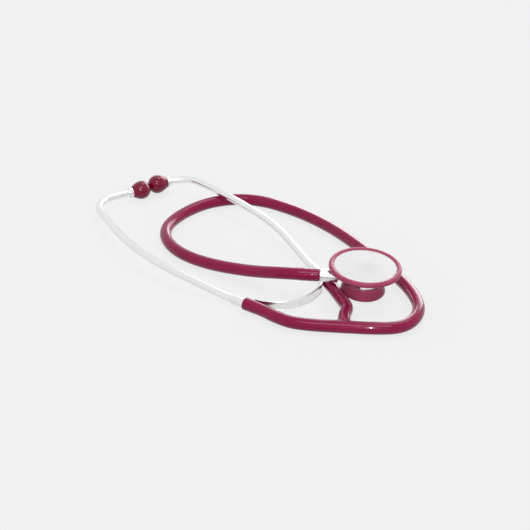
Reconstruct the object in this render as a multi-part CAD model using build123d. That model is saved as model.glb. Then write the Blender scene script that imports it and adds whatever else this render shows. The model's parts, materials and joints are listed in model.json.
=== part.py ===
from build123d import *
import os
from math import atan2, cos, degrees, pi, radians, sin, tan

# Dual-head stethoscope, laid on a table. Millimetres, +Z up, table at z = 0.
# Routes are written in a bench frame and moved by BENCH_TO_ROW, which puts the row's origin
# at the middle of the base of everything but the hoses.
BENCH_TO_ROW = Vector(16.4, -25.7, 0)

# ---- Hoses ----------------------------------------------------------------------------------
HOSE_OD = 8.2
HOSE_BORE = 4.8
HOSE_Z = HOSE_OD / 2  # centre height of a hose that lies on the table
JUNCTION_FILLET = 2.2
ARM_OD = HOSE_OD - 0.3  # a little under the hose, so that the moulded corner runs out smoothly
JUNCTION_MIDDLE = (49.4, -82.3, HOSE_Z)
JUNCTION_HEADING = -5.7  # degrees, towards the main hose
JUNCTION_REACH = 9.0  # from the middle to the main hose
JUNCTION_LEFT_REACH = 11.0
ARM_HEADING = 85.0  # towards the right branch
ARM_REACH = 10.9
# Each route leaves the junction square to its face; the first point is the end of that run.
MAIN_FIRST_RUN = 20.5
MAIN_ROUTE = [
    (92.2, -78.7, HOSE_Z),
    (99.2, -64.2, HOSE_Z),
    (99.0, -47.5, HOSE_Z),
    (93.7, -25.1, HOSE_Z),
    (70.7, 11.6, HOSE_Z),
    (47.8, 44.3, HOSE_Z),
    (20.5, 71.5, HOSE_Z),
    (-8.5, 88.0, HOSE_Z),
    (-37.0, 85.2, HOSE_Z),
    (-59.5, 66.6, HOSE_Z),
    (-72.3, 41.5, HOSE_Z),
    (-65.0, 15.5, HOSE_Z),
    (-43.5, -3.5, HOSE_Z),
    (-12.0, -20.0, 7.2),
]  # the stem's line adds the last two points
LEFT_FIRST_RUN = 18.8
LEFT_BRANCH_ROUTE = [
    (7.0, -71.2, HOSE_Z),
    (-1.5, -62.9, HOSE_Z),
]  # the left ear tube's line adds the hose end
RIGHT_FIRST_RUN = 3.0
RIGHT_BRANCH_ROUTE = [
    (52.5, -57.4, HOSE_Z),
]
RIGHT_LAST_RUN = 15.8  # on the right ear tube's line

# ---- Headset --------------------------------------------------------------------------------
EAR_TUBE_OD = 5.2
EAR_TUBE_BORE = 4.2
INSERTION = 8.5  # length of ear tube inside its hose
LEVEL_LENGTH = 24.5  # the ear tube's inner end lies level for this length
LEFT_HOSE_END = (-12.9, -55.1, HOSE_Z)
LEFT_HEADING = 145.5  # degrees, along the ear tube away from the hose
RIGHT_HOSE_END = (36.1, -17.7, HOSE_Z)
RIGHT_HEADING = 116.5
LEFT_TUBE_BENDS = [(-88.2, -3.4, 12.0), (-125.2, 74.8, 8.6), (-99.2, 91.6, 7.3)]
LEFT_TUBE_RADII = [150.0, 135.0, 20.0]
RIGHT_TUBE_BENDS = [(7.3, 40.0, 9.4), (-29.5, 80.3, 12.4), (-58.3, 114.6, 8.0), (-72.1, 109.1, 7.3)]
RIGHT_TUBE_RADII = [150.0, 135.0, 250.0, 18.0]
FERRULE_OD = 6.4
FERRULE_START = 0.5  # from the inner end of the ear tube
FERRULE_END = 18.0
SLIP = 0.05  # radial clearance of sleeves and running fits

TIP_LENGTH = 16.0
TIP_RADIUS = 6.8
TIP_BASE_RADIUS = 3.9
TIP_BORE = 2.4
TIP_BUSH_OD = 7.4
TIP_BUSH_LENGTH = 2.4
TIP_SPIGOT_OD = 6.0
TIP_SPIGOT_LENGTH = 5.0

STRIP_WIDTH = 6.2
STRIP_THICKNESS = 0.9
TAB_WIDTH = 4.0
TAB_LENGTH = 5.1
STRIP_MIDDLE_ROUTE = [(5.0, -58.2), (16.5, -57.3), (28.0, -50.0), (35.0, -41.0)]
STRIP_RIGHT_TAIL = 13.0  # straight end of the strip along the right ear tube
SLIT_WALL = 0.15  # clearance round the strip in its slit

# ---- Chest piece ----------------------------------------------------------------------------
# Its own frame: origin where the stem's axis crosses the head's axis, +Z through the
# diaphragm, stem along -X.
HEAD_ORIGIN = (65.0, -35.2, 11.73)
HEAD_TILT = 3.5  # degrees about +Y: the side away from the stem is the lower one
RIM_TOP = 9.5
RIM_OD = 48.0
RING_HEIGHT = 3.5
LIP_RADIUS = 20.6
LIP_THICKNESS = 1.0
CUP_RADIUS = 22.5
DIAPHRAGM_THICKNESS = 0.4
DIAPHRAGM_RISE = 0.25
HUB_RADIUS = 11.6
HUB_BOTTOM = -5.0
SOUND_HOLE_RADIUS = 1.4
BELL_RING_WIDEST = HUB_RADIUS + 3.1
BELL_LIP_RADIUS = HUB_RADIUS + 1.0
BELL_LIP = -9.3
BASE = -10.9
THROAT_RADIUS = 2.0
SPIGOT_RADIUS = HUB_RADIUS - 2.7
SPIGOT_HEIGHT = 0.8

STEM_RADIUS = 2.75
STEM_BORE_RADIUS = 1.5
BELL_RING_TOP = -(STEM_RADIUS + 0.35)
BUSH_WALL = 0.8
CAP_START = HUB_RADIUS - 1.6
BUSH_END = CAP_START - 2.0
SEAL_LENGTH = 1.3
HUB_BORE_MOUTH = 0.1 - HUB_RADIUS
CLIP_POSITION = BUSH_END + 0.3
CLIP_THICKNESS = 0.7
CLIP_GROOVE_RADIUS = STEM_RADIUS - 0.55
CLIP_RADIUS = STEM_RADIUS + 1.15
STEM_TIP = CAP_START - 0.4
CAP_RADIUS = CLIP_RADIUS + 0.5
COLLAR_RADIUS = STEM_RADIUS + 1.5
COLLAR_START = -29.4  # also the end of the hose
COLLAR_END = -18.8
COLLAR_GROOVES = 3
BARB_END = -42.4
BARB_COUNT = 3
BARB_RADIUS = HOSE_BORE / 2 - 0.05
DETENT_X = 4.0
BALL_RADIUS = 1.0
GROOVE_RADIUS = STEM_RADIUS - 0.45
DETENT_HOLE_RADIUS = BALL_RADIUS + SLIP
PLUG_LENGTH = 2.8
DETENT_SPRING_LENGTH = round((HUB_RADIUS**2 - DETENT_X**2) ** 0.5 - PLUG_LENGTH - GROOVE_RADIUS - 2.79, 2)

os.makedirs("parts", exist_ok=True)
STEM_BUSH_RADIUS = STEM_RADIUS + SLIP + BUSH_WALL


def row(point):
    """A bench point in the row's frame."""
    return Vector(*point) + BENCH_TO_ROW


def heading(angle):
    """Unit vector in the table's plane."""
    return Vector(cos(radians(angle)), sin(radians(angle)), 0)


def save(node, shape):
    """Write one node; each holds one solid."""
    solids = shape.solids()
    assert len(solids) == 1, f"{node} has {len(solids)} solids"
    export_step(solids[0], f"parts/{node}.step")


def arc_radii(points, share=0.45):
    """The largest tangent arc at each corner: a share of the shorter run over tan(half the turn)."""
    radii = []
    for before, corner, after in zip(points, points[1:], points[2:]):
        run_in, run_out = corner - before, after - corner
        half_turn = radians(run_in.get_angle(run_out)) / 2
        radii.append(share * min(run_in.length, run_out.length) / tan(half_turn))
    return radii


def sweep_tube(points, radii, outer, inner):
    """A round tube along straight runs joined by tangent arcs."""
    path = FilletPolyline(*points, radius=radii)
    start = Plane(origin=points[0], z_dir=points[1] - points[0])
    section = start * (Circle(outer) - Circle(inner))
    tube = sweep(section, path=path)
    expected = pi * (outer**2 - inner**2) * path.length
    ratio = tube.volume / expected
    assert abs(ratio - 1) < 0.01, f"swept volume is {ratio:.3f} of section times length"
    return tube, path.length


def hose(name, points):
    """A hose of the standard section, with its radii printed."""
    radii = arc_radii(points)
    tube, length = sweep_tube(points, radii, HOSE_OD / 2, HOSE_BORE / 2)
    turns = [(b - a).get_angle(c - b) for a, b, c in zip(points, points[1:], points[2:])]
    print(f"{name}: length {length:.1f}, radii {[round(r, 1) for r in radii]}")
    print(f"    turns {[round(t, 1) for t in turns]}")
    print(f"    runs {[round((b - a).length, 1) for a, b in zip(points, points[1:])]}")
    return tube


def rod(start, end, radius):
    """A cylinder between two points."""
    axis = end - start
    return Plane(origin=start, z_dir=axis) * extrude(Circle(radius), axis.length)


def turned(profile):
    """Revolve a closed (radius, height) outline about Z."""
    outline = make_face(Plane.XZ * Polyline(*profile, close=True))
    return revolve(outline, Axis.Z)


def turned_on_stem(profile):
    """Revolve a closed (x, radius) outline about X."""
    outline = make_face(Plane.XZ * Polyline(*profile, close=True))
    return revolve(outline, Axis.X)


def stem_cylinder(x_start, x_end, radius):
    """A cylinder on the stem's axis."""
    return Plane(origin=(x_start, 0, 0), z_dir=(1, 0, 0)) * extrude(Circle(radius), x_end - x_start)


# ---- Chest piece frame ----------------------------------------------------------------------
HEAD = Plane(
    origin=row(HEAD_ORIGIN),
    x_dir=(cos(radians(HEAD_TILT)), 0, -sin(radians(HEAD_TILT))),
    z_dir=(sin(radians(HEAD_TILT)), 0, cos(radians(HEAD_TILT))),
)


def diaphragm_ring():
    """Soft ring that snaps over the cup's rim and holds the diaphragm."""
    bottom = RIM_TOP - RING_HEIGHT
    under_rim = bottom + 0.7
    under_lip = RIM_TOP - LIP_THICKNESS
    outer = RIM_OD / 2
    ring = turned(
        [
            (LIP_RADIUS, RIM_TOP),
            (LIP_RADIUS, under_lip),
            (CUP_RADIUS + SLIP, under_lip),
            (CUP_RADIUS + SLIP, under_rim),
            (CUP_RADIUS - 1.0, under_rim),
            (CUP_RADIUS - 1.0, bottom),
            (outer, bottom),
            (outer, RIM_TOP),
        ]
    )
    outside = ring.edges().filter_by(GeomType.CIRCLE).filter_by(lambda e: abs(e.radius - outer) < 0.01)
    ring = fillet(outside, 1.2)
    inside = ring.edges().filter_by(GeomType.CIRCLE).filter_by(
        lambda e: abs(e.radius - LIP_RADIUS) < 0.01 and e.center().Z > RIM_TOP - 0.1
    )
    return fillet(inside, 0.35)


def diaphragm():
    """Flat disc; its middle stands up inside the ring's lip."""
    edge_top = RIM_TOP - LIP_THICKNESS - SLIP
    edge_bottom = edge_top - DIAPHRAGM_THICKNESS
    face_radius = LIP_RADIUS - 0.15
    return turned(
        [
            (0, edge_bottom),
            (CUP_RADIUS - 0.1, edge_bottom),
            (CUP_RADIUS - 0.1, edge_top),
            (face_radius, edge_top),
            (face_radius, edge_top + DIAPHRAGM_RISE),
            (0, edge_top + DIAPHRAGM_RISE),
        ]
    )


def head_body():
    """Shallow cup on the hub, with the cross bore for the stem."""
    rim_top = RIM_TOP - LIP_THICKNESS - SLIP - DIAPHRAGM_THICKNESS
    rim_bottom = RIM_TOP - RING_HEIGHT + 0.7 + SLIP
    neck = CUP_RADIUS - 1.0 - SLIP
    body = turned(
        [
            (0, HUB_BOTTOM),
            (HUB_RADIUS, HUB_BOTTOM),
            (HUB_RADIUS, 2.2),
            (HUB_RADIUS + 0.8, 3.2),
            (neck - 1.0, 5.1),
            (neck, 5.7),
            (neck, rim_bottom),
            (CUP_RADIUS, rim_bottom),
            (CUP_RADIUS, rim_top),
            (CUP_RADIUS - 0.9, rim_top),
            (CUP_RADIUS - 1.4, rim_top - 0.9),
            (SOUND_HOLE_RADIUS + 1.0, 6.0),
            (0, 6.0),
        ]
    )
    recess = Plane(origin=(0, 0, HUB_BOTTOM)) * extrude(Circle(SPIGOT_RADIUS + SLIP), SPIGOT_HEIGHT + SLIP)
    sound_hole = Plane(origin=(0, 0, HUB_BOTTOM)) * extrude(Circle(SOUND_HOLE_RADIUS), RIM_TOP - HUB_BOTTOM)
    bore = stem_cylinder(-2 * HUB_RADIUS, CAP_START, STEM_BUSH_RADIUS + 0.02)
    clip_room = stem_cylinder(BUSH_END + SLIP, CAP_START, CAP_RADIUS)
    cap_seat = stem_cylinder(CAP_START, 2 * HUB_RADIUS, CAP_RADIUS)
    detent_hole = Plane(origin=(DETENT_X, 0, 0), z_dir=(0, -1, 0)) * extrude(
        Circle(DETENT_HOLE_RADIUS), 2 * HUB_RADIUS
    )
    return body - recess - sound_hole - bore - clip_room - cap_seat - detent_hole


def bell():
    """Turned cup with a narrow throat, seated in the recess under the hub."""
    inner_lip = BELL_LIP_RADIUS - 1.2
    cup = turned(
        [
            (THROAT_RADIUS, HUB_BOTTOM + SPIGOT_HEIGHT),
            (SPIGOT_RADIUS, HUB_BOTTOM + SPIGOT_HEIGHT),
            (SPIGOT_RADIUS, HUB_BOTTOM),
            (HUB_RADIUS, HUB_BOTTOM),
            (BELL_LIP_RADIUS, BELL_LIP + 0.6),
            (BELL_LIP_RADIUS, BELL_LIP),
            (inner_lip, BELL_LIP),
            (inner_lip - 0.8, BELL_LIP + 2.0),
            (inner_lip - 3.0, BELL_LIP + 3.3),
            (6.0, HUB_BOTTOM - 1.3),
            (THROAT_RADIUS, HUB_BOTTOM - 0.7),
        ]
    )
    return cup


def bell_ring():
    """Soft ring stretched over the bell; it is what the chest piece stands on."""
    inner_top = HUB_RADIUS + 0.03
    hook = BELL_LIP - SLIP
    ring = turned(
        [
            (inner_top, BELL_RING_TOP),
            (inner_top + 1.2, BELL_RING_TOP),
            (inner_top + 1.7, BELL_RING_TOP - 0.4),
            (BELL_RING_WIDEST, BASE + 2.4),
            (BELL_RING_WIDEST, BASE + 1.6),
            (BELL_RING_WIDEST - 0.6, BASE + 0.4),
            (BELL_RING_WIDEST - 1.4, BASE),
            (BELL_LIP_RADIUS - 0.6, BASE),
            (BELL_LIP_RADIUS - 1.0, BASE + 0.4),
            (BELL_LIP_RADIUS - 1.0, hook),
            (BELL_LIP_RADIUS + SLIP, hook),
            (BELL_LIP_RADIUS + SLIP, BELL_LIP + 0.6),
            (inner_top, HUB_BOTTOM),
        ]
    )
    return ring


def bush():
    """Bearing sleeve in the hub for the stem, open to both sound holes and to the ball."""
    start = HUB_BORE_MOUTH + SEAL_LENGTH
    sleeve = stem_cylinder(start, BUSH_END, STEM_BUSH_RADIUS) - stem_cylinder(
        start, BUSH_END, STEM_RADIUS + SLIP
    )
    sound_hole = Plane(origin=(0, 0, -10)) * extrude(Circle(SOUND_HOLE_RADIUS), 20)
    ball_hole = Plane(origin=(DETENT_X, 0, 0), z_dir=(0, -1, 0)) * extrude(Circle(DETENT_HOLE_RADIUS), 10)
    return sleeve - sound_hole - ball_hole


def seal_ring():
    """Flat seal at the mouth of the hub bore."""
    end = HUB_BORE_MOUTH + SEAL_LENGTH
    return stem_cylinder(HUB_BORE_MOUTH, end, STEM_BUSH_RADIUS) - stem_cylinder(
        HUB_BORE_MOUTH, end, STEM_RADIUS + SLIP
    )


def stem():
    """Hollow stem: barbs in the hose, neck, journal with ball groove, clip groove, side port."""
    barb_pitch = (COLLAR_START - BARB_END - 1.0) / BARB_COUNT
    root = BARB_RADIUS - 0.35
    outline = [(BARB_END, STEM_BORE_RADIUS), (BARB_END, root)]
    for number in range(BARB_COUNT):
        foot = BARB_END + number * barb_pitch
        outline += [(foot + 0.7 * barb_pitch, BARB_RADIUS), (foot + barb_pitch, root)]
    outline += [
        (COLLAR_START, root),
        (COLLAR_START, STEM_RADIUS),
        (DETENT_X - BALL_RADIUS, STEM_RADIUS),
        (DETENT_X - BALL_RADIUS, GROOVE_RADIUS),
        (DETENT_X + BALL_RADIUS, GROOVE_RADIUS),
        (DETENT_X + BALL_RADIUS, STEM_RADIUS),
        (CLIP_POSITION - SLIP, STEM_RADIUS),
        (CLIP_POSITION - SLIP, CLIP_GROOVE_RADIUS),
        (CLIP_POSITION + CLIP_THICKNESS + SLIP, CLIP_GROOVE_RADIUS),
        (CLIP_POSITION + CLIP_THICKNESS + SLIP, STEM_RADIUS),
        (STEM_TIP, STEM_RADIUS),
        (STEM_TIP, 0),
        (STEM_BORE_RADIUS + 0.5, 0),
        (STEM_BORE_RADIUS + 0.5, STEM_BORE_RADIUS),
    ]
    body = turned_on_stem(outline)
    port = extrude(Circle(SOUND_HOLE_RADIUS), 10)
    return body - port


def stem_collar():
    """Ring pressed on the stem where the hose stops, with fine grip lines."""
    collar = stem_cylinder(COLLAR_START, COLLAR_END, COLLAR_RADIUS) - stem_cylinder(
        COLLAR_START, COLLAR_END, STEM_RADIUS + 0.01
    )
    pitch = (COLLAR_END - COLLAR_START) / (COLLAR_GROOVES + 1)
    for number in range(COLLAR_GROOVES):
        middle = COLLAR_START + (number + 1) * pitch
        line = stem_cylinder(middle - 0.2, middle + 0.2, COLLAR_RADIUS + 1)
        collar -= line - stem_cylinder(middle - 0.2, middle + 0.2, COLLAR_RADIUS - 0.25)
    ends = collar.edges().filter_by(GeomType.CIRCLE).filter_by(
        lambda e: abs(e.radius - COLLAR_RADIUS) < 0.01
        and min(abs(e.center().X - COLLAR_START), abs(e.center().X - COLLAR_END)) < 0.01
    )
    return chamfer(ends, 0.3)


def retaining_clip():
    """Open clip in the stem's groove; it keeps the head on the stem."""
    clip = stem_cylinder(CLIP_POSITION, CLIP_POSITION + CLIP_THICKNESS, CLIP_RADIUS) - stem_cylinder(
        CLIP_POSITION, CLIP_POSITION + CLIP_THICKNESS, CLIP_GROOVE_RADIUS + SLIP
    )
    mouth = Pos(CLIP_POSITION, 0, -CLIP_RADIUS) * Box(4, 2 * CLIP_GROOVE_RADIUS, 2 * CLIP_RADIUS)
    return clip - mouth


def hub_cap():
    """Disc that closes the hub over the clip, flush with the hub's round side."""
    blank = stem_cylinder(CAP_START, 2 * HUB_RADIUS, CAP_RADIUS - 0.02)
    return blank & extrude(Circle(HUB_RADIUS), 20, both=True)


def ball_centre():
    return GROOVE_RADIUS + BALL_RADIUS + 0.02


def detent_ball():
    return Pos(DETENT_X, -ball_centre(), 0) * Sphere(BALL_RADIUS)


def detent_spring():
    """Spring behind the ball, as a sleeve of its outer and inner diameter."""
    start = ball_centre() + BALL_RADIUS + 0.02
    place = Plane(origin=(DETENT_X, -start, 0), z_dir=(0, -1, 0))
    ring = Circle(DETENT_HOLE_RADIUS - 0.1) - Circle(DETENT_HOLE_RADIUS - 0.4)
    return place * extrude(ring, DETENT_SPRING_LENGTH)


def detent_plug():
    """Socket screw that loads the spring, just under the hub's side."""
    start = ball_centre() + BALL_RADIUS + DETENT_SPRING_LENGTH + 0.05
    place = Plane(origin=(DETENT_X, -start, 0), z_dir=(0, -1, 0))
    plug = place * extrude(Circle(DETENT_HOLE_RADIUS - 0.02), PLUG_LENGTH)
    socket = place * Pos(0, 0, PLUG_LENGTH - 1.2) * extrude(RegularPolygon(0.6, 6), 1.2)
    return plug - socket


# ---- Hoses and headset ----------------------------------------------------------------------
def junction_face(angle, reach):
    """Centre of a junction face, at a heading from the junction's middle."""
    return row(JUNCTION_MIDDLE) + heading(angle) * reach


def leaving(angle, reach, first_run):
    """The first two points of a hose that leaves the junction."""
    face = junction_face(angle, reach)
    return [face, face + heading(angle) * first_run]


def main_hose():
    """From the junction round to the stem; the last run lies on the stem's axis."""
    start = leaving(JUNCTION_HEADING, JUNCTION_REACH, MAIN_FIRST_RUN)
    hose_end = HEAD.from_local_coords(Vector(COLLAR_START, 0, 0))
    stem_line = HEAD.from_local_coords(Vector(COLLAR_START - 21.0, 0, 0))
    return hose("main_hose", start + [row(p) for p in MAIN_ROUTE] + [stem_line, hose_end])


def tube_start(hose_end, angle):
    """Inner end of an ear tube, inside its hose."""
    return row(hose_end) - heading(angle) * INSERTION


def ear_tube(hose_end, angle, bends, radii):
    start = tube_start(hose_end, angle)
    points = [start, start + heading(angle) * LEVEL_LENGTH] + [row(p) for p in bends]
    tube, length = sweep_tube(points, radii, EAR_TUBE_OD / 2, EAR_TUBE_BORE / 2)
    print(f"ear tube: length {length:.1f}")
    return tube


def ferrule(hose_end, angle):
    """Sleeve on the ear tube; the strip's tab is fixed to its side, inside the hose."""
    start = tube_start(hose_end, angle)
    first, last = start + heading(angle) * FERRULE_START, start + heading(angle) * FERRULE_END
    return first, last


def branch_hose(name, points, hose_end, angle, side, slit_start):
    """A branch hose, opened out over the ferrule and slit for the strip.

    side is the angle from the tube's heading to the side where the strip leaves."""
    tube = hose(name, points)
    start = tube_start(hose_end, angle)
    inner = start + heading(angle) * (FERRULE_START - 0.3)
    outer = row(hose_end) + heading(angle)
    tube -= rod(start - heading(angle) * 0.3, outer, EAR_TUBE_OD / 2 + SLIP)
    tube -= rod(inner, outer, FERRULE_OD / 2 + SLIP)
    slit_length = INSERTION + 1.0 - slit_start
    middle = start + heading(angle) * (slit_start + slit_length / 2)
    reach = FERRULE_OD / 2 - SLIT_WALL
    away = heading(angle + side)
    slit = Plane(origin=middle + away * (reach + 2), x_dir=heading(angle), z_dir=(0, 0, 1)) * Box(
        slit_length, 4, TAB_WIDTH + 2 * SLIT_WALL
    )
    return tube - slit


def strip_route():
    """Centre line of the leaf spring, from the left ear tube to the right one."""
    offset = FERRULE_OD / 2 + STRIP_THICKNESS / 2 + 0.02
    left = tube_start(LEFT_HOSE_END, LEFT_HEADING) + heading(LEFT_HEADING - 90) * offset
    right = tube_start(RIGHT_HOSE_END, RIGHT_HEADING) + heading(RIGHT_HEADING + 90) * offset
    reach = INSERTION - 0.4
    left_tip = left + heading(LEFT_HEADING) * reach
    right_tip = right + heading(RIGHT_HEADING) * reach
    middle = [row((x, y, HOSE_Z)) for x, y in STRIP_MIDDLE_ROUTE]
    left_tab = left_tip - heading(LEFT_HEADING) * TAB_LENGTH
    right_tab = right_tip - heading(RIGHT_HEADING) * STRIP_RIGHT_TAIL
    return [left_tip, left_tab] + middle + [right_tab, right_tip]


def leaf_spring():
    """Bare strip on edge; its ends narrow to tabs that run along the ferrules."""
    points = strip_route()
    path = FilletPolyline(*points, radius=arc_radii(points))
    start = Plane(origin=points[0], z_dir=points[1] - points[0], x_dir=(0, 0, 1))
    strip = sweep(start * Rectangle(STRIP_WIDTH, STRIP_THICKNESS), path=path)
    for tip, tab in ((points[0], points[1]), (points[-1], points[-2])):
        along = (tab - tip).normalized()
        reach = (tab - tip).length + 0.6
        middle = tip + along * (reach / 2 - 1)
        keep = Plane(origin=middle, x_dir=along, z_dir=(0, 0, 1))
        shoulder = keep * (Box(reach + 2, 3, STRIP_WIDTH + 2) - Box(reach + 2, 4, TAB_WIDTH))
        strip -= shoulder
    return strip


def junction():
    """Moulded Y: the main hose runs on into the left branch, the right branch leaves square."""
    middle = row(JUNCTION_MIDDLE)
    right = junction_face(JUNCTION_HEADING, JUNCTION_REACH)
    left = junction_face(JUNCTION_HEADING, -JUNCTION_LEFT_REACH)
    up = junction_face(ARM_HEADING, ARM_REACH)
    run = rod(right, left, HOSE_OD / 2)
    arm = rod(middle, up, ARM_OD / 2)
    body = run + arm
    seam = [e for e in body.edges() if e.geom_type not in (GeomType.CIRCLE, GeomType.LINE)]
    body = fillet(seam, JUNCTION_FILLET)
    bores = rod(right, left, HOSE_BORE / 2) + rod(middle, up, HOSE_BORE / 2)
    return body - bores


def tip_plane(bends):
    """Frame at the end of an ear tube: +Z along the ear tip."""
    return Plane(origin=row(bends[-1]), z_dir=row(bends[-1]) - row(bends[-2]))


def tip_bush():
    """Collar and spigot that carries the ear tip; the ear tube ends inside it."""
    outer, inner = TIP_BUSH_OD / 2, EAR_TUBE_OD / 2 + 0.02
    return turned(
        [
            (inner, -TIP_BUSH_LENGTH / 2),
            (outer - 0.3, -TIP_BUSH_LENGTH / 2),
            (outer, -TIP_BUSH_LENGTH / 2 + 0.3),
            (outer, TIP_BUSH_LENGTH / 2),
            (TIP_SPIGOT_OD / 2, TIP_BUSH_LENGTH / 2),
            (TIP_SPIGOT_OD / 2, TIP_BUSH_LENGTH / 2 + TIP_SPIGOT_LENGTH),
            (TIP_BORE / 2, TIP_BUSH_LENGTH / 2 + TIP_SPIGOT_LENGTH),
            (TIP_BORE / 2, 0.05),
            (inner, 0.05),
        ]
    )


def ear_tip():
    """Soft bulb with a rounded front and a through bore."""
    base = TIP_BUSH_LENGTH / 2
    belly = TIP_LENGTH - TIP_RADIUS
    socket = TIP_SPIGOT_OD / 2 + 0.02
    socket_end = base + TIP_SPIGOT_LENGTH + SLIP
    mouth = belly + (TIP_RADIUS**2 - (TIP_BORE / 2) ** 2) ** 0.5
    back = Spline(
        (TIP_BASE_RADIUS, base), (TIP_RADIUS, belly), tangents=[(0.8, 1.0), (0.0, 1.0)]
    )
    front = CenterArc((0, belly), TIP_RADIUS, 0, degrees(atan2(mouth - belly, TIP_BORE / 2)))
    inside = Polyline(
        (TIP_BORE / 2, mouth),
        (TIP_BORE / 2, socket_end),
        (socket, socket_end),
        (socket, base),
        (TIP_BASE_RADIUS, base),
    )
    outline = make_face(Plane.XZ * (back + front + inside))
    return revolve(outline, Axis.Z)


def head_nodes():
    """The chest piece's nodes, in its own frame."""
    return {
        "diaphragm_ring": diaphragm_ring(),
        "diaphragm": diaphragm(),
        "head_body": head_body(),
        "bell": bell(),
        "bell_ring": bell_ring(),
        "hub_bush": bush(),
        "seal_ring": seal_ring(),
        "hub_cap": hub_cap(),
        "detent_ball": detent_ball(),
        "detent_spring": detent_spring(),
        "detent_plug": detent_plug(),
        "stem": stem(),
        "stem_collar": stem_collar(),
        "retaining_clip": retaining_clip(),
    }


def headset_side(side, hose_end, angle, bends, radii):
    """The nodes of one side of the headset."""
    first, last = ferrule(hose_end, angle)
    sleeve = rod(first, last, FERRULE_OD / 2) - rod(first, last, EAR_TUBE_OD / 2 + SLIP / 2)
    place = tip_plane(bends)
    return {
        f"{side}_ear_tube": ear_tube(hose_end, angle, bends, radii),
        f"{side}_ferrule": sleeve,
        f"{side}_tip_bush": place * tip_bush(),
        f"{side}_ear_tip": place * ear_tip(),
    }


def main():
    for node, shape in head_nodes().items():
        save(node, HEAD * shape)
    save("main_hose", main_hose())
    save("y_junction", junction())
    left_route = leaving(JUNCTION_HEADING + 180, JUNCTION_LEFT_REACH, LEFT_FIRST_RUN)
    left_route += [row(p) for p in LEFT_BRANCH_ROUTE] + [row(LEFT_HOSE_END)]
    save(
        "left_branch_hose",
        branch_hose("left_branch_hose", left_route, LEFT_HOSE_END, LEFT_HEADING, -90, 0.5),
    )
    right_end = row(RIGHT_HOSE_END)
    right_bend = right_end - heading(RIGHT_HEADING) * RIGHT_LAST_RUN
    right_route = leaving(ARM_HEADING, ARM_REACH, RIGHT_FIRST_RUN)
    right_route += [row(p) for p in RIGHT_BRANCH_ROUTE] + [right_bend, right_end]
    save(
        "right_branch_hose",
        branch_hose("right_branch_hose", right_route, RIGHT_HOSE_END, RIGHT_HEADING, 90, -6.5),
    )
    save("leaf_spring", leaf_spring())
    left = headset_side("left", LEFT_HOSE_END, LEFT_HEADING, LEFT_TUBE_BENDS, LEFT_TUBE_RADII)
    right = headset_side("right", RIGHT_HOSE_END, RIGHT_HEADING, RIGHT_TUBE_BENDS, RIGHT_TUBE_RADII)
    for node, shape in {**left, **right}.items():
        save(node, shape)


main()
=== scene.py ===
"""A dual-head stethoscope on a pale table: burgundy hose, bare steel ear tubes, plated chest piece."""

import json
import math

import bmesh
import bpy
import numpy as np
from mathutils import Matrix, Vector


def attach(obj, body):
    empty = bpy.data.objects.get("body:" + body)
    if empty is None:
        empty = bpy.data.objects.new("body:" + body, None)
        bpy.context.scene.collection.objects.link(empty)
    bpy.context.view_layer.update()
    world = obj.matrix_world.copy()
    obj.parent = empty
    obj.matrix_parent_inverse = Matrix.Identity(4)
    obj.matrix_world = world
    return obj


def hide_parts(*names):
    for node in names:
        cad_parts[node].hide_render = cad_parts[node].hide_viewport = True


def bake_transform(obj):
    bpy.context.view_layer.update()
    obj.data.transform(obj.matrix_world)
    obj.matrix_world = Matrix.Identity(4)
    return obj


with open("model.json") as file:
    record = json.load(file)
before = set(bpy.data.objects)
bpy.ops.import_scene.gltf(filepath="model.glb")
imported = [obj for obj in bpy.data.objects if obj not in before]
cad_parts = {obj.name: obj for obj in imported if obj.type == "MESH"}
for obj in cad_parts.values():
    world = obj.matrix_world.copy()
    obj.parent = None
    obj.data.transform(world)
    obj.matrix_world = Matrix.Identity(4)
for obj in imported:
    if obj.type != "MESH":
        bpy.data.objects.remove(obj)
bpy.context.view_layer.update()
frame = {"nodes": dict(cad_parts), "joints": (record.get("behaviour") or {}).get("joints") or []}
nodes = frame["nodes"]
joints = {joint["name"]: joint for joint in frame["joints"]}
MM = 0.001

# ---- Sizes and routes shared with the CAD source --------------------------------------------
BENCH_TO_ROW = Vector((16.4, -25.7, 0)) * MM
HOSE_RADIUS = 4.1 * MM
HOSE_Z = 4.1
JUNCTION_MIDDLE = (49.4, -82.3, HOSE_Z)
JUNCTION_HEADING = -5.7
JUNCTION_REACH = 9.0
JUNCTION_LEFT_REACH = 11.0
ARM_HEADING = 85.0
ARM_REACH = 10.9
ARM_FOOT = 4.0  # the arm's own run starts this far from the middle
JUNCTION_SOFTNESS = 4.5 * MM
MAIN_FIRST_RUN = 20.5
MAIN_ROUTE = [
    (92.2, -78.7, HOSE_Z),
    (99.2, -64.2, HOSE_Z),
    (98.2, -47.9, HOSE_Z),
    (90.8, -26.5, HOSE_Z),
    (69.5, 11.0, HOSE_Z),
    (47.8, 44.3, HOSE_Z),
    (20.5, 71.5, HOSE_Z),
    (-8.5, 88.0, HOSE_Z),
    (-37.0, 85.2, HOSE_Z),
    (-59.5, 66.6, HOSE_Z),
    (-72.3, 41.5, HOSE_Z),
    (-65.0, 15.5, HOSE_Z),
    (-43.5, -3.5, HOSE_Z),
    (-12.0, -20.0, 7.2),
]
LEFT_FIRST_RUN = 18.8
LEFT_BRANCH_ROUTE = [(7.0, -71.2, HOSE_Z), (-1.5, -62.9, HOSE_Z)]
RIGHT_FIRST_RUN = 3.0
RIGHT_BRANCH_ROUTE = [(53.2, -60.5, HOSE_Z), (49.9, -50.6, HOSE_Z)]
LEFT_HOSE_END = (-12.9, -55.1, HOSE_Z)
LEFT_HEADING = 145.5
RIGHT_HOSE_END = (36.1, -17.7, HOSE_Z)
RIGHT_HEADING = 116.5
RIGHT_LAST_RUN = 15.8
HOSE_ON_STEM = 29.4  # hose end, from the head's centre along the stem
STEM_RUN = 21.0


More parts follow.
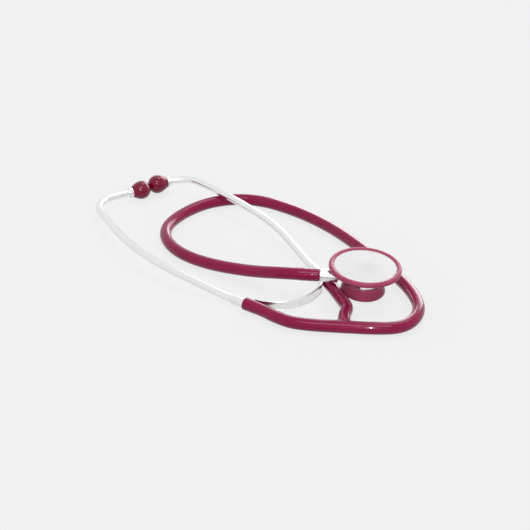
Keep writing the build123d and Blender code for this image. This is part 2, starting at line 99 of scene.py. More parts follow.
def row(point):
    """A bench point in millimetres as a point of the row frame in metres."""
    return Vector(point) * MM + BENCH_TO_ROW


def heading(angle):
    """Unit vector in the table's plane."""
    return Vector((math.cos(math.radians(angle)), math.sin(math.radians(angle)), 0))


HEAD_CENTRE = Vector(joints["head_swivel"]["pos_m"])
STEM_AXIS = Vector(joints["head_swivel"]["axis"]).normalized()  # from the stem to the head
HEAD_NORMAL = STEM_AXIS.cross(Vector((0, 1, 0))).normalized()


def on_head(along, across, up):
    """A point of the chest piece's frame, in millimetres, in the row frame."""
    return HEAD_CENTRE + (STEM_AXIS * along + Vector((0, 1, 0)) * across + HEAD_NORMAL * up) * MM


HEAD_MATRIX = Matrix.Translation(HEAD_CENTRE) @ Matrix(
    (STEM_AXIS, Vector((0, 1, 0)), HEAD_NORMAL)
).transposed().to_4x4()


# ---- Materials ------------------------------------------------------------------------------
def material(name):
    """A fresh node material: its tree, its shader and a helper that adds a node."""
    made = bpy.data.materials.new(name)
    made.use_nodes = True
    tree = made.node_tree
    shader = tree.nodes["Principled BSDF"]

    def add(kind, **settings):
        node = tree.nodes.new(kind)
        for key, value in settings.items():
            if hasattr(node, key):
                setattr(node, key, value)
            else:
                node.inputs[key.replace("_", " ")].default_value = value
        return node

    return made, tree, shader, add


def soft_plastic(name, colour, dark, roughness, coat, facing=0.3, sheen=0.0, bump=0.02):
    """Moulded burgundy PVC: faint mottling in the colour, fine waviness, a soft gloss.

    facing scales the reflection seen square on, and leaves the one at grazing angles.
    """
    made, tree, shader, add = material(name)
    link = tree.links.new
    where = add("ShaderNodeTexCoord")
    cloud = add("ShaderNodeTexNoise", Scale=70.0, Detail=3.0, Roughness=0.55)
    link(where.outputs["Object"], cloud.inputs["Vector"])
    ramp = add("ShaderNodeValToRGB")
    ramp.color_ramp.elements[0].position = 0.35
    ramp.color_ramp.elements[0].color = (*dark, 1)
    ramp.color_ramp.elements[1].position = 0.7
    ramp.color_ramp.elements[1].color = (*colour, 1)
    link(cloud.outputs["Fac"], ramp.inputs["Fac"])
    link(ramp.outputs["Color"], shader.inputs["Base Color"])
    speck = add("ShaderNodeTexNoise", Scale=900.0, Detail=2.0, Roughness=0.6)
    link(where.outputs["Object"], speck.inputs["Vector"])
    rough = add("ShaderNodeMapRange")
    rough.inputs["To Min"].default_value = roughness * 0.85
    rough.inputs["To Max"].default_value = roughness * 1.2
    link(speck.outputs["Fac"], rough.inputs["Value"])
    link(rough.outputs["Result"], shader.inputs["Roughness"])
    wave = add("ShaderNodeTexNoise", Scale=160.0, Detail=1.0)
    link(where.outputs["Object"], wave.inputs["Vector"])
    mix = add("ShaderNodeMath", operation="MULTIPLY_ADD")
    mix.inputs[1].default_value = 0.25
    link(speck.outputs["Fac"], mix.inputs[0])
    link(wave.outputs["Fac"], mix.inputs[2])
    relief = add("ShaderNodeBump", Strength=bump, Distance=0.0006)
    link(mix.outputs["Value"], relief.inputs["Height"])
    link(relief.outputs["Normal"], shader.inputs["Normal"])
    shader.inputs["IOR"].default_value = 1.5
    shader.inputs["Specular Tint"].default_value = (facing, facing, facing, 1)
    shader.inputs["Sheen Weight"].default_value = sheen
    shader.inputs["Sheen Roughness"].default_value = 0.35
    shader.inputs["Sheen Tint"].default_value = (1.0, 0.72, 0.80, 1)
    shader.inputs["Coat Weight"].default_value = coat
    shader.inputs["Coat Roughness"].default_value = 0.07
    return made


def metal(name, colour, roughness, streak=(400.0, 400.0, 400.0), spread=0.3, bump=0.01):
    """Bright metal with fine polishing marks; streak sets their scale along each axis."""
    made, tree, shader, add = material(name)
    link = tree.links.new
    where = add("ShaderNodeTexCoord")
    stretch = add("ShaderNodeMapping")
    stretch.inputs["Scale"].default_value = streak
    link(where.outputs["Object"], stretch.inputs["Vector"])
    mark = add("ShaderNodeTexNoise", Scale=4.0, Detail=3.0, Roughness=0.6)
    link(stretch.outputs["Vector"], mark.inputs["Vector"])
    rough = add("ShaderNodeMapRange")
    rough.inputs["To Min"].default_value = roughness * (1 - spread)
    rough.inputs["To Max"].default_value = roughness * (1 + spread)
    link(mark.outputs["Fac"], rough.inputs["Value"])
    link(rough.outputs["Result"], shader.inputs["Roughness"])
    tint = add("ShaderNodeMix", data_type="RGBA")
    tint.inputs["A"].default_value = (*[c * 0.93 for c in colour], 1)
    tint.inputs["B"].default_value = (*colour, 1)
    link(mark.outputs["Fac"], tint.inputs["Factor"])
    link(tint.outputs["Result"], shader.inputs["Base Color"])
    relief = add("ShaderNodeBump", Strength=bump, Distance=0.0002)
    link(mark.outputs["Fac"], relief.inputs["Height"])
    link(relief.outputs["Normal"], shader.inputs["Normal"])
    shader.inputs["Metallic"].default_value = 1.0
    return made


def laminate():
    """Pale diaphragm: satin, a faint woven print-through and a slightly darker middle."""
    made, tree, shader, add = material("diaphragm_laminate")
    link = tree.links.new
    where = add("ShaderNodeTexCoord")
    shift = add("ShaderNodeVectorMath", operation="DISTANCE")
    shift.inputs[1].default_value = on_head(2.0, -1.5, 9.1)
    link(where.outputs["Object"], shift.inputs[0])
    fall = add("ShaderNodeMapRange", interpolation_type="SMOOTHSTEP")
    fall.inputs["From Min"].default_value = 0.0
    fall.inputs["From Max"].default_value = 0.012
    fall.inputs["To Min"].default_value = 1.0
    fall.inputs["To Max"].default_value = 0.0
    link(shift.outputs["Value"], fall.inputs["Value"])
    cloud = add("ShaderNodeTexNoise", Scale=180.0, Detail=4.0)
    link(where.outputs["Object"], cloud.inputs["Vector"])
    smudge = add("ShaderNodeMath", operation="MULTIPLY")
    link(fall.outputs["Result"], smudge.inputs[0])
    link(cloud.outputs["Fac"], smudge.inputs[1])
    colour = add("ShaderNodeMix", data_type="RGBA")
    colour.inputs["A"].default_value = (0.48, 0.475, 0.485, 1)
    colour.inputs["B"].default_value = (0.35, 0.35, 0.36, 1)
    link(smudge.outputs["Value"], colour.inputs["Factor"])
    link(colour.outputs["Result"], shader.inputs["Base Color"])
    weave = add("ShaderNodeTexNoise", Scale=2500.0, Detail=1.0)
    link(where.outputs["Object"], weave.inputs["Vector"])
    relief = add("ShaderNodeBump", Strength=0.04, Distance=0.0002)
    link(weave.outputs["Fac"], relief.inputs["Height"])
    link(relief.outputs["Normal"], shader.inputs["Normal"])
    shader.inputs["Roughness"].default_value = 0.32
    return made


HOSE_COLOUR = (0.228, 0.0012, 0.049)
HOSE_DARK = (0.192, 0.001, 0.038)
hose_pvc = soft_plastic("hose_pvc", HOSE_COLOUR, HOSE_DARK, 0.2, 0.4, facing=0.05, bump=0.002)
# Rings: burgundy pvc, but with a base colour lighter and pinker than the hose's as painted sheen from
# overhead light
ring_pvc_painted_sheen = soft_plastic("ring_pvc_painted_sheen", (0.33, 0.052, 0.105), (0.29, 0.040, 0.088), 0.42, 0.0,
                        sheen=0.3, bump=0.03)
tip_silicone = soft_plastic("tip_silicone", (0.19, 0.002, 0.030), (0.155, 0.0015, 0.022), 0.1, 0.5,
                            facing=0.05, bump=0.001)
chrome = metal("chest_piece_chrome", (0.92, 0.92, 0.925), 0.1)
tube_steel = metal("ear_tube_steel", (0.86, 0.86, 0.865), 0.19, bump=0.004)
collar_metal = metal("collar_metal", (0.84, 0.83, 0.845), 0.26)
spring_steel = metal("spring_steel", (0.86, 0.855, 0.85), 0.22, streak=(60.0, 60.0, 900.0), spread=0.4)
bright_steel = metal("small_steel", (0.7, 0.7, 0.71), 0.3)
bearing_bronze = metal("bearing_bronze", (0.62, 0.46, 0.25), 0.35)
seal_black = soft_plastic("seal_black", (0.02, 0.02, 0.02), (0.015, 0.015, 0.015), 0.5, 0.0)
diaphragm_sheet = laminate()


def dress(material_made, *names):
    """Give CAD nodes a finish."""
    for name in names:
        data = nodes[name].data
        data.materials.clear()
        data.materials.append(material_made)
        for polygon in data.polygons:
            polygon.material_index = 0


# ---- Mesh helpers ---------------------------------------------------------------------------
def new_object(name, data, finish):
    made = bpy.data.objects.new(name, data)
    bpy.context.scene.collection.objects.link(made)
    data.materials.append(finish)
    return made


def spline_line(name, points):
    """The centre line of a NURBS spline with the route's points as its control points."""
    curve = bpy.data.curves.new(name, "CURVE")
    curve.dimensions = "3D"
    spline = curve.splines.new("NURBS")
    spline.points.add(len(points) - 1)
    for control, point in zip(spline.points, points):
        control.co = (*point, 1)
    spline.order_u = 3
    spline.use_endpoint_u = True
    spline.resolution_u = 24
    holder = bpy.data.objects.new(name, curve)
    bpy.context.scene.collection.objects.link(holder)
    bpy.context.view_layer.update()
    line = bpy.data.meshes.new_from_object(holder)
    found = [v.co.copy() for v in line.vertices]
    bpy.data.objects.remove(holder)
    bpy.data.curves.remove(curve)
    bpy.data.meshes.remove(line)
    return found


def evenly(line, step):
    """The same line with points one step apart, and their distances from the start."""
    points = np.array([list(p) for p in line])
    lengths = np.r_[0, np.cumsum(np.linalg.norm(np.diff(points, axis=0), axis=1))]
    count = max(2, int(round(lengths[-1] / step)))
    at = np.linspace(0, lengths[-1], count + 1)
    return np.stack([np.interp(at, lengths, points[:, k]) for k in range(3)], axis=1), at


def tube_mesh(name, centres, radii, around=40):
    """A skin of rings round a line. radii may step back on itself for a rolled-in end."""
    tangents = np.gradient(centres, axis=0)
    for index in range(len(centres)):
        if np.linalg.norm(tangents[index]) < 1e-9:
            tangents[index] = tangents[index - 1]
    tangents /= np.linalg.norm(tangents, axis=1)[:, None]
    side = np.cross(tangents[0], (0, 0, 1.0))
    side /= np.linalg.norm(side)
    verts, faces = [], []
    for centre, tangent, radius in zip(centres, tangents, radii):
        side = side - tangent * side.dot(tangent)
        side /= np.linalg.norm(side)
        up = np.cross(side, tangent)
        for k in range(around):
            turn = 2 * math.pi * k / around
            verts.append(centre + radius * (math.cos(turn) * side + math.sin(turn) * up))
    for ring in range(len(centres) - 1):
        for k in range(around):
            a, b = ring * around + k, ring * around + (k + 1) % around
            faces.append((a, b, b + around, a + around))
    data = bpy.data.meshes.new(name)
    data.from_pydata([tuple(v) for v in verts], [], faces)
    smooth(data)
    return data


def smooth(data):
    """Shade smooth with outward normals."""
    made = bmesh.new()
    made.from_mesh(data)
    bmesh.ops.recalc_face_normals(made, faces=made.faces)
    made.to_mesh(data)
    made.free()
    data.polygons.foreach_set("use_smooth", [True] * len(data.polygons))
    data.update()


def lathe(name, outline, finish, matrix, around=128, sharp=None):
    """Revolve (radius, height) pairs in millimetres about Z, then place the piece."""
    verts, faces = [], []
    for radius, height in outline:
        for k in range(around):
            turn = 2 * math.pi * k / around
            verts.append((radius * MM * math.cos(turn), radius * MM * math.sin(turn), height * MM))
    count = len(outline)
    for step in range(count):
        following = (step + 1) % count
        for k in range(around):
            a, b = step * around + k, step * around + (k + 1) % around
            c, d = following * around + (k + 1) % around, following * around + k
            faces.append((a, b, c, d))
    data = bpy.data.meshes.new(name)
    data.from_pydata(verts, [], faces)
    data.transform(matrix)
    smooth(data)
    if sharp:
        data.set_sharp_from_angle(angle=math.radians(sharp))
    return new_object(name, data, finish)


def round_corner(corner, before, after, radius, steps=6):
    """Points of an arc that rounds a corner of an outline."""
    corner, before, after = (Vector(p).to_2d() for p in (corner, before, after))
    into, out = (before - corner).normalized(), (after - corner).normalized()
    half = into.angle(out) / 2
    reach = radius / math.tan(half)
    centre = corner + (into + out).normalized() * (radius / math.sin(half))
    start, end = corner + into * reach, corner + out * reach
    first = start - centre
    turn = first.angle_signed(end - centre)
    points = []
    for step in range(steps + 1):
        spin = Matrix.Rotation(-turn * step / steps, 2)
        points.append(tuple(centre + spin @ first))
    return points


def rounded(outline, radii):
    """A closed outline with chosen corners rounded."""
    points = []
    count = len(outline)
    for index, (corner, radius) in enumerate(zip(outline, radii)):
        if radius:
            points += round_corner(corner, outline[index - 1], outline[(index + 1) % count], radius)
        else:
            points.append(tuple(corner))
    return points


# ---- Camera ---------------------------------------------------------------------------------
CAMERA_TARGET = row((0, 0, 0))
CAMERA_DISTANCE = 0.924
CAMERA_ELEVATION = math.radians(31)


def make_camera():
    data = bpy.data.cameras.new("camera")
    data.lens = 92.0
    data.sensor_width = 36.0
    camera = bpy.data.objects.new("camera", data)
    bpy.context.scene.collection.objects.link(camera)
    back = Vector((0, -math.cos(CAMERA_ELEVATION), math.sin(CAMERA_ELEVATION)))
    camera.location = CAMERA_TARGET + back * CAMERA_DISTANCE
    camera.rotation_euler = (math.pi / 2 - CAMERA_ELEVATION, 0, 0)
    data.clip_start, data.clip_end = 0.01, 20
    bpy.context.scene.camera = camera


# ---- Hoses ----------------------------------------------------------------------------------
def junction_face(angle, reach):
    return row(JUNCTION_MIDDLE) + heading(angle) * reach * MM


def leaving(angle, reach, first_run):
    """The first two points of a hose that leaves the junction."""
    face = junction_face(angle, reach)
    return [face, face + heading(angle) * first_run * MM]


def rolled_end(centres, distances, radius_at, bore, depth):
    """Radii along a hose, then a softly broken edge, the cut face and the bore going back in."""
    total = distances[-1]
    radii = [radius_at(total - d) for d in distances]
    end, before = centres[-1], centres[-2]
    axis = (end - before) / np.linalg.norm(end - before)
    extra = [
        (end - axis * 0.05 * MM, radii[-1] - 0.10 * MM),
        (end, radii[-1] - 0.30 * MM),
        (end, (radii[-1] + bore) / 2),
        (end, bore + 0.15 * MM),
        (end - axis * 0.15 * MM, bore),
        (end - axis * depth, bore),
    ]
    trimmed = list(centres[:-1]) + [end - axis * 0.25 * MM]
    lines = trimmed + [p for p, _ in extra]
    return np.array(lines), radii + [r for _, r in extra]


def hose(name, route, radius_at, bore, depth):
    """A hose along its route, cut square at its far end."""
    line = spline_line(name, route)
    centres, distances = evenly(line, 1.0 * MM)
    body, radii = rolled_end(centres, distances, radius_at, bore, depth)
    made = new_object(name, tube_mesh(name, body, radii), hose_pvc)
    return made, centres, distances[-1]


BARB_HUMPS = (2.2, 6.0, 10.2)  # distances of the swellings over the barbs from the hose's end
BARB_SWELL = 0.13
STRETCH = 0.18


def main_radius(from_end):
    """The hose swells where it is stretched over the stem, with a hump over each barb."""
    distance = from_end / MM
    stretched = 1 / (1 + math.exp((distance - 14.5) / 1.1))
    humps = sum(math.exp(-((distance - at) / 0.9) ** 2) for at in BARB_HUMPS)
    return HOSE_RADIUS + (STRETCH * stretched + BARB_SWELL * humps) * MM


def branch_radius(from_end):
    """A branch is stretched a little over the ferrule and the strip's tab."""
    distance = from_end / MM
    stretched = 1 / (1 + math.exp((distance - 9.5) / 0.9))
    return HOSE_RADIUS + 0.12 * MM * stretched


def make_hoses():
    hose_end = on_head(-HOSE_ON_STEM, 0, 0)
    stem_corner = on_head(-HOSE_ON_STEM - STEM_RUN, 0, 0)
    main_route = leaving(JUNCTION_HEADING, JUNCTION_REACH, MAIN_FIRST_RUN)
    main_route += [row(p) for p in MAIN_ROUTE] + [stem_corner, hose_end]
    main, centres, length = hose("hose_main", main_route, main_radius, 2.45 * MM, 6 * MM)
    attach(main, "tubing")
    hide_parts("main_hose")

    left_route = leaving(JUNCTION_HEADING + 180, JUNCTION_LEFT_REACH, LEFT_FIRST_RUN)
    left_route += [row(p) for p in LEFT_BRANCH_ROUTE] + [row(LEFT_HOSE_END)]
    right_end = row(RIGHT_HOSE_END)
    right_route = leaving(ARM_HEADING, ARM_REACH, RIGHT_FIRST_RUN)
    right_route += [row(p) for p in RIGHT_BRANCH_ROUTE]
    right_route += [right_end - heading(RIGHT_HEADING) * RIGHT_LAST_RUN * MM, right_end]
    sides = (("left", left_route, LEFT_HEADING), ("right", right_route, RIGHT_HEADING))
    for side, route, angle in sides:
        branch, centres, length = hose(f"hose_{side}_branch", route, branch_radius, 3.28 * MM, 5 * MM)
        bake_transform(branch)
        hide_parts(f"{side}_branch_hose")


def to_segment(points, start, end):
    """Distance of each point from a segment, and its place along it in metres."""
    start, end = np.array(start), np.array(end)
    axis = (end - start) / np.linalg.norm(end - start)
    along = (points - start) @ axis
    foot = start + np.clip(along, 0, np.linalg.norm(end - start))[:, None] * axis
    return np.linalg.norm(points - foot, axis=1), along


def make_junction():
    """Moulded Y: three runs of tube whose corners flow into each other."""
    right = junction_face(JUNCTION_HEADING, JUNCTION_REACH)
    left = junction_face(JUNCTION_HEADING, -JUNCTION_LEFT_REACH)
    middle = row(JUNCTION_MIDDLE) + heading(ARM_HEADING) * ARM_FOOT * MM
    up = junction_face(ARM_HEADING, ARM_REACH)
    parts = bmesh.new()
    overlap = 0.8 * MM
    for start, end in ((left, right), (middle, up)):
        axis = end - start
        place = Matrix.Translation((start + end) / 2) @ axis.to_track_quat("Z", "Y").to_matrix().to_4x4()
        bmesh.ops.create_cone(parts, cap_ends=True, segments=96, radius1=HOSE_RADIUS,
                              radius2=HOSE_RADIUS, depth=axis.length + 2 * overlap, matrix=place)
    data = bpy.data.meshes.new("hose_junction")
    parts.to_mesh(data)
    parts.free()
    made = new_object("hose_junction", data, hose_pvc)
    remesh = made.modifiers.new("remesh", "REMESH")
    remesh.mode = "VOXEL"
    remesh.voxel_size = 0.45 * MM
    evaluated = made.evaluated_get(bpy.context.evaluated_depsgraph_get())
    blended = bpy.data.meshes.new_from_object(evaluated)
    made.modifiers.remove(remesh)
    made.data = blended
    blended.name = "hose_junction"

    points = np.array([v.co for v in blended.vertices])

    def field(where):
        """Signed distance of the two tubes with a soft corner between them."""
        run = to_segment(where, left - (right - left), right + (right - left))[0] - HOSE_RADIUS
        arm = to_segment(where, middle, up + (up - middle))[0] - HOSE_RADIUS
        near = np.maximum(JUNCTION_SOFTNESS - np.abs(run - arm), 0) / JUNCTION_SOFTNESS
        level = 1 - np.clip(np.abs(where[:, 2] - HOSE_RADIUS) / HOSE_RADIUS, 0, 1) ** 2
        return np.minimum(run, arm) - near**2 * level * JUNCTION_SOFTNESS / 4

    moving = np.ones(len(points), bool)
    inset = np.zeros(len(points))
    for start, end in ((right, left), (left, right), (up, middle)):
        inward = np.array((end - start).normalized())
        beyond = -(points - np.array(start)) @ inward
        near = np.linalg.norm(points - np.array(start), axis=1) < 2 * HOSE_RADIUS
        moving &= ~(near & (beyond > 0.55 * overlap))
        inset[near] = np.clip(beyond[near] / overlap, 0, 1) * 0.12 * MM
    for _ in range(12):
        value = field(points) + inset
        slope = np.stack([(field(points + d) - field(points - d)) / (2 * 0.02 * MM)
                          for d in np.eye(3) * 0.02 * MM], axis=1)
        slope /= np.maximum(np.linalg.norm(slope, axis=1), 0.3)[:, None]
        points[moving] -= 0.8 * (slope * value[:, None])[moving]
    blended.vertices.foreach_set("co", points.ravel())
    smooth(blended)
    blended.materials.clear()
    blended.materials.append(hose_pvc)
    return made


# ---- Leaf spring ----------------------------------------------------------------------------
FERRULE_RADIUS = 3.2
STRIP_WIDTH = 6.2
STRIP_THICKNESS = 0.9
TAB_WIDTH = 4.0
TAB_LENGTH = 5.1
STRIP_MIDDLE_ROUTE = [(5.0, -58.2), (16.5, -57.3), (28.0, -50.0), (35.0, -41.0)]
STRIP_RIGHT_TAIL = 13.0
STRIP_APEX = (22.0, -53.0, HOSE_Z)


def strip_mesh(name, centres, distances, first, last):
    """The run of the strip between two of its centres, on edge, narrowing to its tabs."""
    half_thick, broken = STRIP_THICKNESS / 2 * MM, 0.18 * MM
    verts, faces = [], []
    for index in range(first, last + 1):
        centre = centres[index]
        tangent = centres[min(index + 1, len(centres) - 1)] - centres[max(index - 1, 0)]
        side = np.cross(tangent / np.linalg.norm(tangent), (0, 0, 1.0))
        to_end = min(distances[index], distances[-1] - distances[index]) / MM
        grown = min(max((to_end - TAB_LENGTH + 1.0) / 1.0, 0), 1)
        half_wide = (TAB_WIDTH + (STRIP_WIDTH - TAB_WIDTH) * grown) / 2 * MM
        for across, up in ((1, 1), (1, -1), (-1, -1), (-1, 1)):
            corner = [(half_thick, half_wide - broken), (half_thick - 0.3 * broken, half_wide - 0.3 * broken),
                      (half_thick - broken, half_wide)]
            if across * up < 0:
                corner.reverse()
            for thick, wide in corner:
                verts.append(centre + side * across * thick + np.array((0, 0, up * wide)))
    around, rings = 12, last - first + 1
    for ring in range(rings - 1):
        for k in range(around):
            a, b = ring * around + k, ring * around + (k + 1) % around
            faces.append((a, b, b + around, a + around))
    faces.append(tuple(range(around)))
    faces.append(tuple(range((rings - 1) * around, rings * around)))
    data = bpy.data.meshes.new(name)
    data.from_pydata([tuple(v) for v in verts], [], faces)
    smooth(data)
    data.set_sharp_from_angle(angle=math.radians(50))
    return data


def make_leaf_spring():
    """Strip on edge with softly broken edges; it narrows to tabs inside the hoses."""
    offset = FERRULE_RADIUS + STRIP_THICKNESS / 2 + 0.02
    left = row(LEFT_HOSE_END) + (heading(LEFT_HEADING - 90) * offset - heading(LEFT_HEADING) * 0.4) * MM
    right = row(RIGHT_HOSE_END) + (heading(RIGHT_HEADING + 90) * offset - heading(RIGHT_HEADING) * 0.4) * MM
    route = [left, left - heading(LEFT_HEADING) * TAB_LENGTH * MM]
    route += [row((x, y, HOSE_Z)) for x, y in STRIP_MIDDLE_ROUTE]
    route += [right - heading(RIGHT_HEADING) * STRIP_RIGHT_TAIL * MM, right]
    centres, distances = evenly(spline_line("leaf_spring_line", route), 0.7 * MM)
    apex = int(np.argmin(np.linalg.norm(centres - np.array(row(STRIP_APEX)), axis=1)))
    halves = (
        ("left", 0, apex, (19.0, -55.5, HOSE_Z), (2.0, -58.0, HOSE_Z)),
        ("right", apex, len(centres) - 1, (33.0, -43.0, HOSE_Z), (37.5, -25.0, HOSE_Z)),
    )
    for side, first, last, start, end in halves:
        name = f"leaf_spring_{side}"
        data = strip_mesh(name, centres, distances, first, last)
        made = new_object(name, data, spring_steel)
        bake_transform(made)
        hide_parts("leaf_spring")


# ---- Chest piece rings and ear tips ---------------------------------------------------------
RIM_TOP = 9.5
RIM_RADIUS = 24.0
RING_HEIGHT = 3.5
LIP_RADIUS = 20.6
CUP_RADIUS = 22.5
HUB_RADIUS = 11.6
BELL_RING_TOP = -3.1
BELL_RING_WIDEST = 14.7
BELL_LIP_RADIUS = 12.6
BELL_LIP = -9.3
BASE = -10.9


def make_rings():
    """The two soft rings, turned finely with round edges."""
    bottom, face = RIM_TOP - RING_HEIGHT, RIM_TOP - 0.8
    outline = [
        (LIP_RADIUS, face - 0.2), (LIP_RADIUS + 0.1, face + 0.15), (LIP_RADIUS + 0.9, RIM_TOP - 0.12),
        (LIP_RADIUS + 1.9, RIM_TOP), (RIM_RADIUS, RIM_TOP), (RIM_RADIUS, bottom),
        (CUP_RADIUS - 0.9, bottom), (CUP_RADIUS - 0.9, bottom + 0.7), (CUP_RADIUS + 0.05, bottom + 0.7),
        (CUP_RADIUS + 0.05, face - 0.2),
    ]
    points = rounded(outline, [0.08, 0.2, 0.8, 1.5, 1.55, 1.2, 0.25, 0, 0, 0])
    ring = lathe("diaphragm_rim", points, ring_pvc_painted_sheen, HEAD_MATRIX, around=160)
    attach(ring, "head")
    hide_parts("diaphragm_ring")

    inner = HUB_RADIUS + 0.03
    outline = [
        (inner, BELL_RING_TOP), (inner + 1.65, BELL_RING_TOP), (inner + 2.0, BELL_RING_TOP - 2.0),
        (BELL_RING_WIDEST, BASE + 2.6), (BELL_RING_WIDEST, BASE + 1.3), (BELL_RING_WIDEST - 1.3, BASE),
        (BELL_LIP_RADIUS - 0.9, BASE), (BELL_LIP_RADIUS - 1.0, BELL_LIP - 0.05),
        (BELL_LIP_RADIUS + 0.05, BELL_LIP - 0.05), (BELL_LIP_RADIUS + 0.05, BELL_LIP + 0.6),
        (inner, -5.0),
    ]
    points = rounded(outline, [0.3, 0.45, 2.0, 1.5, 1.2, 0.9, 0.3, 0, 0, 0, 0])
    ring = lathe("bell_rim_ring", points, ring_pvc_painted_sheen, HEAD_MATRIX, around=144)
    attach(ring, "head")
    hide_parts("bell_ring")


STEM_RADIUS = 2.75
COLLAR_RADIUS = 4.25
COLLAR_START = -29.2
COLLAR_END = -17.4


def make_collar():
    """Turned collar between the hose and the head, with three fine grooves."""
    outline = [(STEM_RADIUS + 0.02, COLLAR_START), (COLLAR_RADIUS, COLLAR_START)]
    for middle in (-27.6, -24.4, -21.2):
        outline += [(COLLAR_RADIUS, middle - 0.2), (COLLAR_RADIUS - 0.22, middle),
                    (COLLAR_RADIUS, middle + 0.2)]
    outline += [(COLLAR_RADIUS, COLLAR_END), (STEM_RADIUS + 0.02, COLLAR_END)]
    points = rounded(outline, [0, 0.35] + [0.08, 0.06, 0.08] * 3 + [0.4, 0])
    place = Matrix.Translation(HEAD_CENTRE) @ STEM_AXIS.to_track_quat("Z", "Y").to_matrix().to_4x4()
    collar = lathe("stem_collar_turned", points, collar_metal, place, around=96)
    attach(collar, "tubing")
    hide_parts("stem_collar")


TIP_LENGTH = 16.0
TIP_RADIUS = 6.8
TIP_BASE_RADIUS = 3.9
TIP_BORE = 2.4
TIP_BUSH_LENGTH = 2.4
TIP_SOCKET_DEPTH = 5.1
TIP_SOCKET_RADIUS = 3.02
TIP_ENDS = {
    "left": ((-125.2, 74.8, 8.6), (-99.2, 91.6, 7.3)),
    "right": ((-58.3, 114.6, 8.0), (-72.1, 109.1, 7.3)),
}


def make_ear_tips():
    """Soft bulbs: a flared base, a full belly and a rounded nose with a small mouth."""
    base, belly = TIP_BUSH_LENGTH / 2, TIP_LENGTH - TIP_RADIUS
    outline = [(TIP_BASE_RADIUS - 0.25, base)]
    for step in range(25):
        part = step / 24
        swell = math.sin(part * math.pi / 2) ** 1.15
        outline.append((TIP_BASE_RADIUS + (TIP_RADIUS - TIP_BASE_RADIUS) * swell,
                        base + 0.25 + (belly - base - 0.25) * part))
    mouth = TIP_BORE / 2 + 0.35
    last = math.acos(mouth / TIP_RADIUS)
    for step in range(1, 25):
        turn = last * step / 24
        outline.append((TIP_RADIUS * math.cos(turn), belly + TIP_RADIUS * math.sin(turn)))
    top = outline[-1][1]
    outline += [(mouth - 0.2, top - 0.02), (TIP_BORE / 2, top - 0.3), (TIP_BORE / 2, base + TIP_SOCKET_DEPTH),
                (TIP_SOCKET_RADIUS - 0.02, base + TIP_SOCKET_DEPTH), (TIP_SOCKET_RADIUS, base)]
    for side, (before, end) in TIP_ENDS.items():
        axis = row(end) - row(before)
        place = Matrix.Translation(row(end)) @ axis.to_track_quat("Z", "Y").to_matrix().to_4x4()
        tip = lathe(f"{side}_ear_bulb", outline, tip_silicone, place, around=72)
        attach(tip, f"{side}_headset")
        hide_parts(f"{side}_ear_tip")


# ---- Floor and light ------------------------------------------------------------------------
def make_floor():
    """Pale table top; the eye and the metal see it as a softly shadowed near-white."""
    made, tree, shader, add = material("studio_floor")
    link = tree.links.new
    shader.inputs["Base Color"].default_value = (0.82, 0.82, 0.82, 1)
    shader.inputs["Roughness"].default_value = 0.9
    shader.inputs["Specular IOR Level"].default_value = 0.0
    glow = add("ShaderNodeEmission", Color=(FLOOR_SEEN, FLOOR_SEEN, FLOOR_SEEN, 1), Strength=1.0)
    seen = add("ShaderNodeLightPath")
    either = add("ShaderNodeMath", operation="MAXIMUM")
    link(seen.outputs["Is Camera Ray"], either.inputs[0])
    link(seen.outputs["Is Glossy Ray"], either.inputs[1])
    share = add("ShaderNodeMath", operation="MULTIPLY")
    share.inputs[1].default_value = FLOOR_GLOW
    link(either.outputs["Value"], share.inputs[0])
    blend = add("ShaderNodeMixShader")
    link(share.outputs["Value"], blend.inputs["Fac"])
    link(shader.outputs["BSDF"], blend.inputs[1])
    link(glow.outputs["Emission"], blend.inputs[2])
    link(blend.outputs["Shader"], tree.nodes["Material Output"].inputs["Surface"])
    data = bpy.data.meshes.new("studio_floor")
    reach = 4.0
    data.from_pydata([(-reach, -reach, 0), (reach, -reach, 0), (reach, reach, 0), (-reach, reach, 0)],
                     [], [(0, 1, 2, 3)])
    floor = new_object("studio_floor", data, made)
    floor.location.z = -0.0002


FLOOR_SEEN = 0.99
FLOOR_GLOW = 0.78
WORLD_LEVEL = 0.50
WORLD_SEEN = 0.95


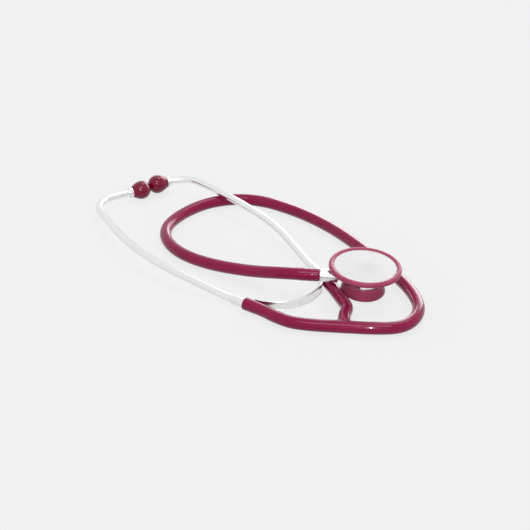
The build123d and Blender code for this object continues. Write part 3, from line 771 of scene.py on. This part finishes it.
def make_light():
    """White surroundings, a soft sun, and lamps for the key, the small highlights and the side sheen."""
    world = bpy.data.worlds.new("studio")
    bpy.context.scene.world = world
    world.use_nodes = True
    tree = world.node_tree
    link = tree.links.new
    background = tree.nodes["Background"]
    background.inputs["Color"].default_value = (1.0, 1.0, 1.0, 1)
    seen = tree.nodes.new("ShaderNodeLightPath")
    either = tree.nodes.new("ShaderNodeMath")
    either.operation = "MAXIMUM"
    link(seen.outputs["Is Camera Ray"], either.inputs[0])
    link(seen.outputs["Is Glossy Ray"], either.inputs[1])
    level = tree.nodes.new("ShaderNodeMapRange")
    level.inputs["To Min"].default_value = WORLD_LEVEL
    level.inputs["To Max"].default_value = WORLD_SEEN
    link(either.outputs["Value"], level.inputs["Value"])
    link(level.outputs["Result"], background.inputs["Strength"])
    data = bpy.data.lights.new("sun", "SUN")
    data.energy = 0.45
    data.angle = math.radians(25)
    lamp = bpy.data.objects.new("sun", data)
    bpy.context.scene.collection.objects.link(lamp)
    toward = heading(60) * math.cos(math.radians(60))
    toward.z = math.sin(math.radians(60))
    lamp.rotation_euler = toward.to_track_quat("Z", "Y").to_euler()
    not_on_floor = bpy.data.collections.new("not_on_floor")  # the table stays evenly lit
    not_on_floor.objects.link(bpy.data.objects["studio_floor"])
    not_on_floor.collection_objects[0].light_linking.link_state = "EXCLUDE"
    for name, place, aim, wide, high, radiance in (
        ("front_key", (0.05, -0.42, 0.92), (0, 0, 0), 0.55, 0.25, 6.0),
        ("flash", (0.075, -0.79, 0.50), (0, 0, 0), 0.014, 0.014, 6000.0),
        ("softbox", (0.22, 0.36, 0.13), (0.05, 0, 0), 0.40, 0.26, 4.6),
    ):
        data = bpy.data.lights.new(name, "AREA")
        data.shape = "RECTANGLE"
        data.size, data.size_y = wide, high
        data.energy = radiance * math.pi * wide * high
        lamp = bpy.data.objects.new(name, data)
        bpy.context.scene.collection.objects.link(lamp)
        lamp.location = place
        away = Vector(place) - Vector(aim)
        lamp.rotation_euler = away.to_track_quat("Z", "Y").to_euler()
        lamp.visible_camera = False
        lamp.light_linking.receiver_collection = not_on_floor


make_camera()
junction = make_junction()
make_hoses()
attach(junction, "tubing")
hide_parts("y_junction")

dress(chrome, "head_body", "bell", "stem", "hub_cap")
dress(diaphragm_sheet, "diaphragm")
make_leaf_spring()
make_rings()
make_collar()
make_ear_tips()
dress(tube_steel, "left_ear_tube", "right_ear_tube")
dress(collar_metal, "left_ferrule", "right_ferrule", "left_tip_bush", "right_tip_bush")
dress(bright_steel, "retaining_clip", "detent_ball", "detent_spring", "detent_plug")
dress(bearing_bronze, "hub_bush")
dress(seal_black, "seal_ring")

make_floor()
make_light()
bpy.context.scene.view_settings.view_transform = "Standard"
